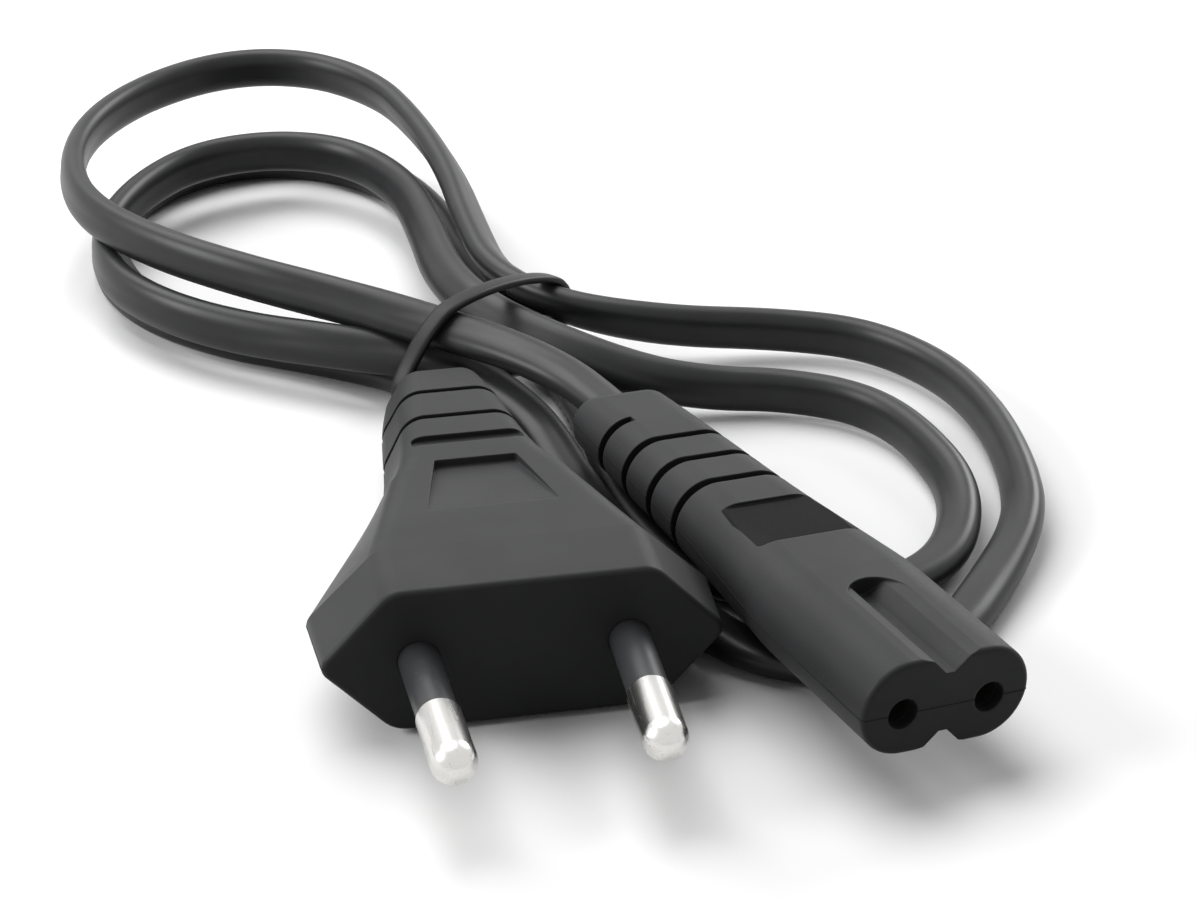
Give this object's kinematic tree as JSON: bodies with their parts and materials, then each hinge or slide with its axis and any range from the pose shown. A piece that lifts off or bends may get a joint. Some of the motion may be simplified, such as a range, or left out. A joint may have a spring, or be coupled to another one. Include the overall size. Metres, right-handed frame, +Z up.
{
  "type": "figure eight power connector",
  "caption": "Black mains lead with a flat pin plug, a figure-eight appliance connector and flat cord gathered in a tied pinched coil.",
  "frame": {"origin": "centre of the figure-eight connector's bounding box, on its long axis", "axes": "+Y from the connector's nose towards its cord, +Z up, with the connector rolled 5.2 degrees about +Y from level, +X to the right when seen from behind the nose; the surface that the lead lies on is at z = -0.0081"},
  "size_m": [0.0846, 0.1632, 0.0141],
  "materials": {
    "moulding": "soft black plastic with a satin skin",
    "jacket": "soft black plastic cord jacket, satin",
    "tie": "thin black plastic band",
    "sleeve": "smooth black sleeve",
    "carrier": "hard dark plastic",
    "pin_metal": "nickel plated, turned and polished",
    "contact_metal": "rolled brass tube",
    "copper": "stranded copper",
    "core_blue": "blue core insulation",
    "core_brown": "brown core insulation"
  },
  "bodies": {
    "root": {"connector_body": "moulding", "connector_insert": "carrier", "contact_left": "contact_metal", "contact_right": "contact_metal", "connector_core_left": "core_blue", "connector_core_right": "core_brown", "connector_strand_left": "copper", "connector_strand_right": "copper", "plug_body": "moulding", "plug_bridge": "carrier", "plug_pin_left": "pin_metal", "plug_pin_right": "pin_metal", "pin_sleeve_left": "sleeve", "pin_sleeve_right": "sleeve", "plug_core_left": "core_blue", "plug_core_right": "core_brown", "plug_strand_left": "copper", "plug_strand_right": "copper", "cord": "jacket", "cord_tie": "tie"}
  },
  "joints": []
}
